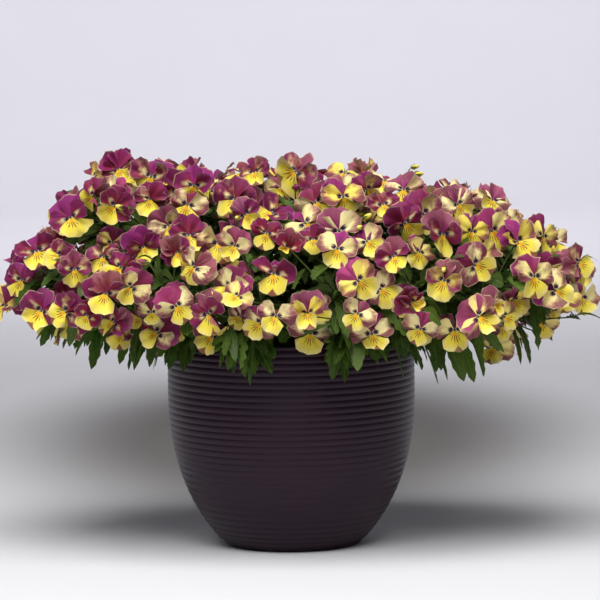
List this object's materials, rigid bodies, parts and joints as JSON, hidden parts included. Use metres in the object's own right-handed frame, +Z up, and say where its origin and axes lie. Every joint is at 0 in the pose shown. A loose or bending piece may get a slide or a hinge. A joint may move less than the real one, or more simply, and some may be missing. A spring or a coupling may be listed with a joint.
{
  "type": "potted pansy planter",
  "caption": "Wide mound of small yellow, cream and raspberry pansies spilling over a dark, round-bellied ribbed patio pot filled with soil.",
  "frame": {"origin": "middle of the flat foot of the pot, on the surface it stands on", "axes": "+Z up, +X to the right along the longest way across the flowers, -Y towards the front"},
  "size_m": [0.7375, 0.4834, 0.4804],
  "materials": {
    "pot": "satin",
    "potting_soil": "matte",
    "foliage": "satin",
    "petals": "matte"
  },
  "bodies": {
    "root": {"pot": "pot", "potting_soil": "potting_soil", "plant_1_shoot_1": "foliage", "plant_1_shoot_2": "foliage", "plant_1_shoot_3": "foliage", "plant_1_shoot_4": "foliage", "plant_1_shoot_5": "foliage", "plant_1_shoot_6": "foliage", "plant_1_shoot_7": "foliage", "plant_2_shoot_1": "foliage", "plant_2_shoot_2": "foliage", "plant_2_shoot_3": "foliage", "plant_2_shoot_4": "foliage", "plant_2_shoot_5": "foliage", "plant_2_shoot_6": "foliage", "plant_2_shoot_7": "foliage", "plant_3_shoot_1": "foliage", "plant_3_shoot_2": "foliage", "plant_3_shoot_3": "foliage", "plant_3_shoot_4": "foliage", "plant_3_shoot_5": "foliage", "plant_3_shoot_6": "foliage", "plant_3_shoot_7": "foliage", "plant_4_shoot_1": "foliage", "plant_4_shoot_2": "foliage", "plant_4_shoot_3": "foliage", "plant_4_shoot_4": "foliage", "plant_4_shoot_5": "foliage", "plant_4_shoot_6": "foliage", "plant_4_shoot_7": "foliage", "plant_5_shoot_1": "foliage", "plant_5_shoot_2": "foliage", "plant_5_shoot_3": "foliage", "plant_5_shoot_4": "foliage", "plant_5_shoot_5": "foliage", "plant_5_shoot_6": "foliage", "plant_5_shoot_7": "foliage", "plant_6_shoot_1": "foliage", "plant_6_shoot_2": "foliage", "plant_6_shoot_3": "foliage", "plant_6_shoot_4": "foliage", "plant_6_shoot_5": "foliage", "plant_6_shoot_6": "foliage", "plant_6_shoot_7": "foliage", "plant_7_shoot_1": "foliage", "plant_7_shoot_2": "foliage", "plant_7_shoot_3": "foliage", "plant_7_shoot_4": "foliage", "plant_7_shoot_5": "foliage", "plant_7_shoot_6": "foliage", "plant_7_shoot_7": "foliage"}
  },
  "joints": []
}
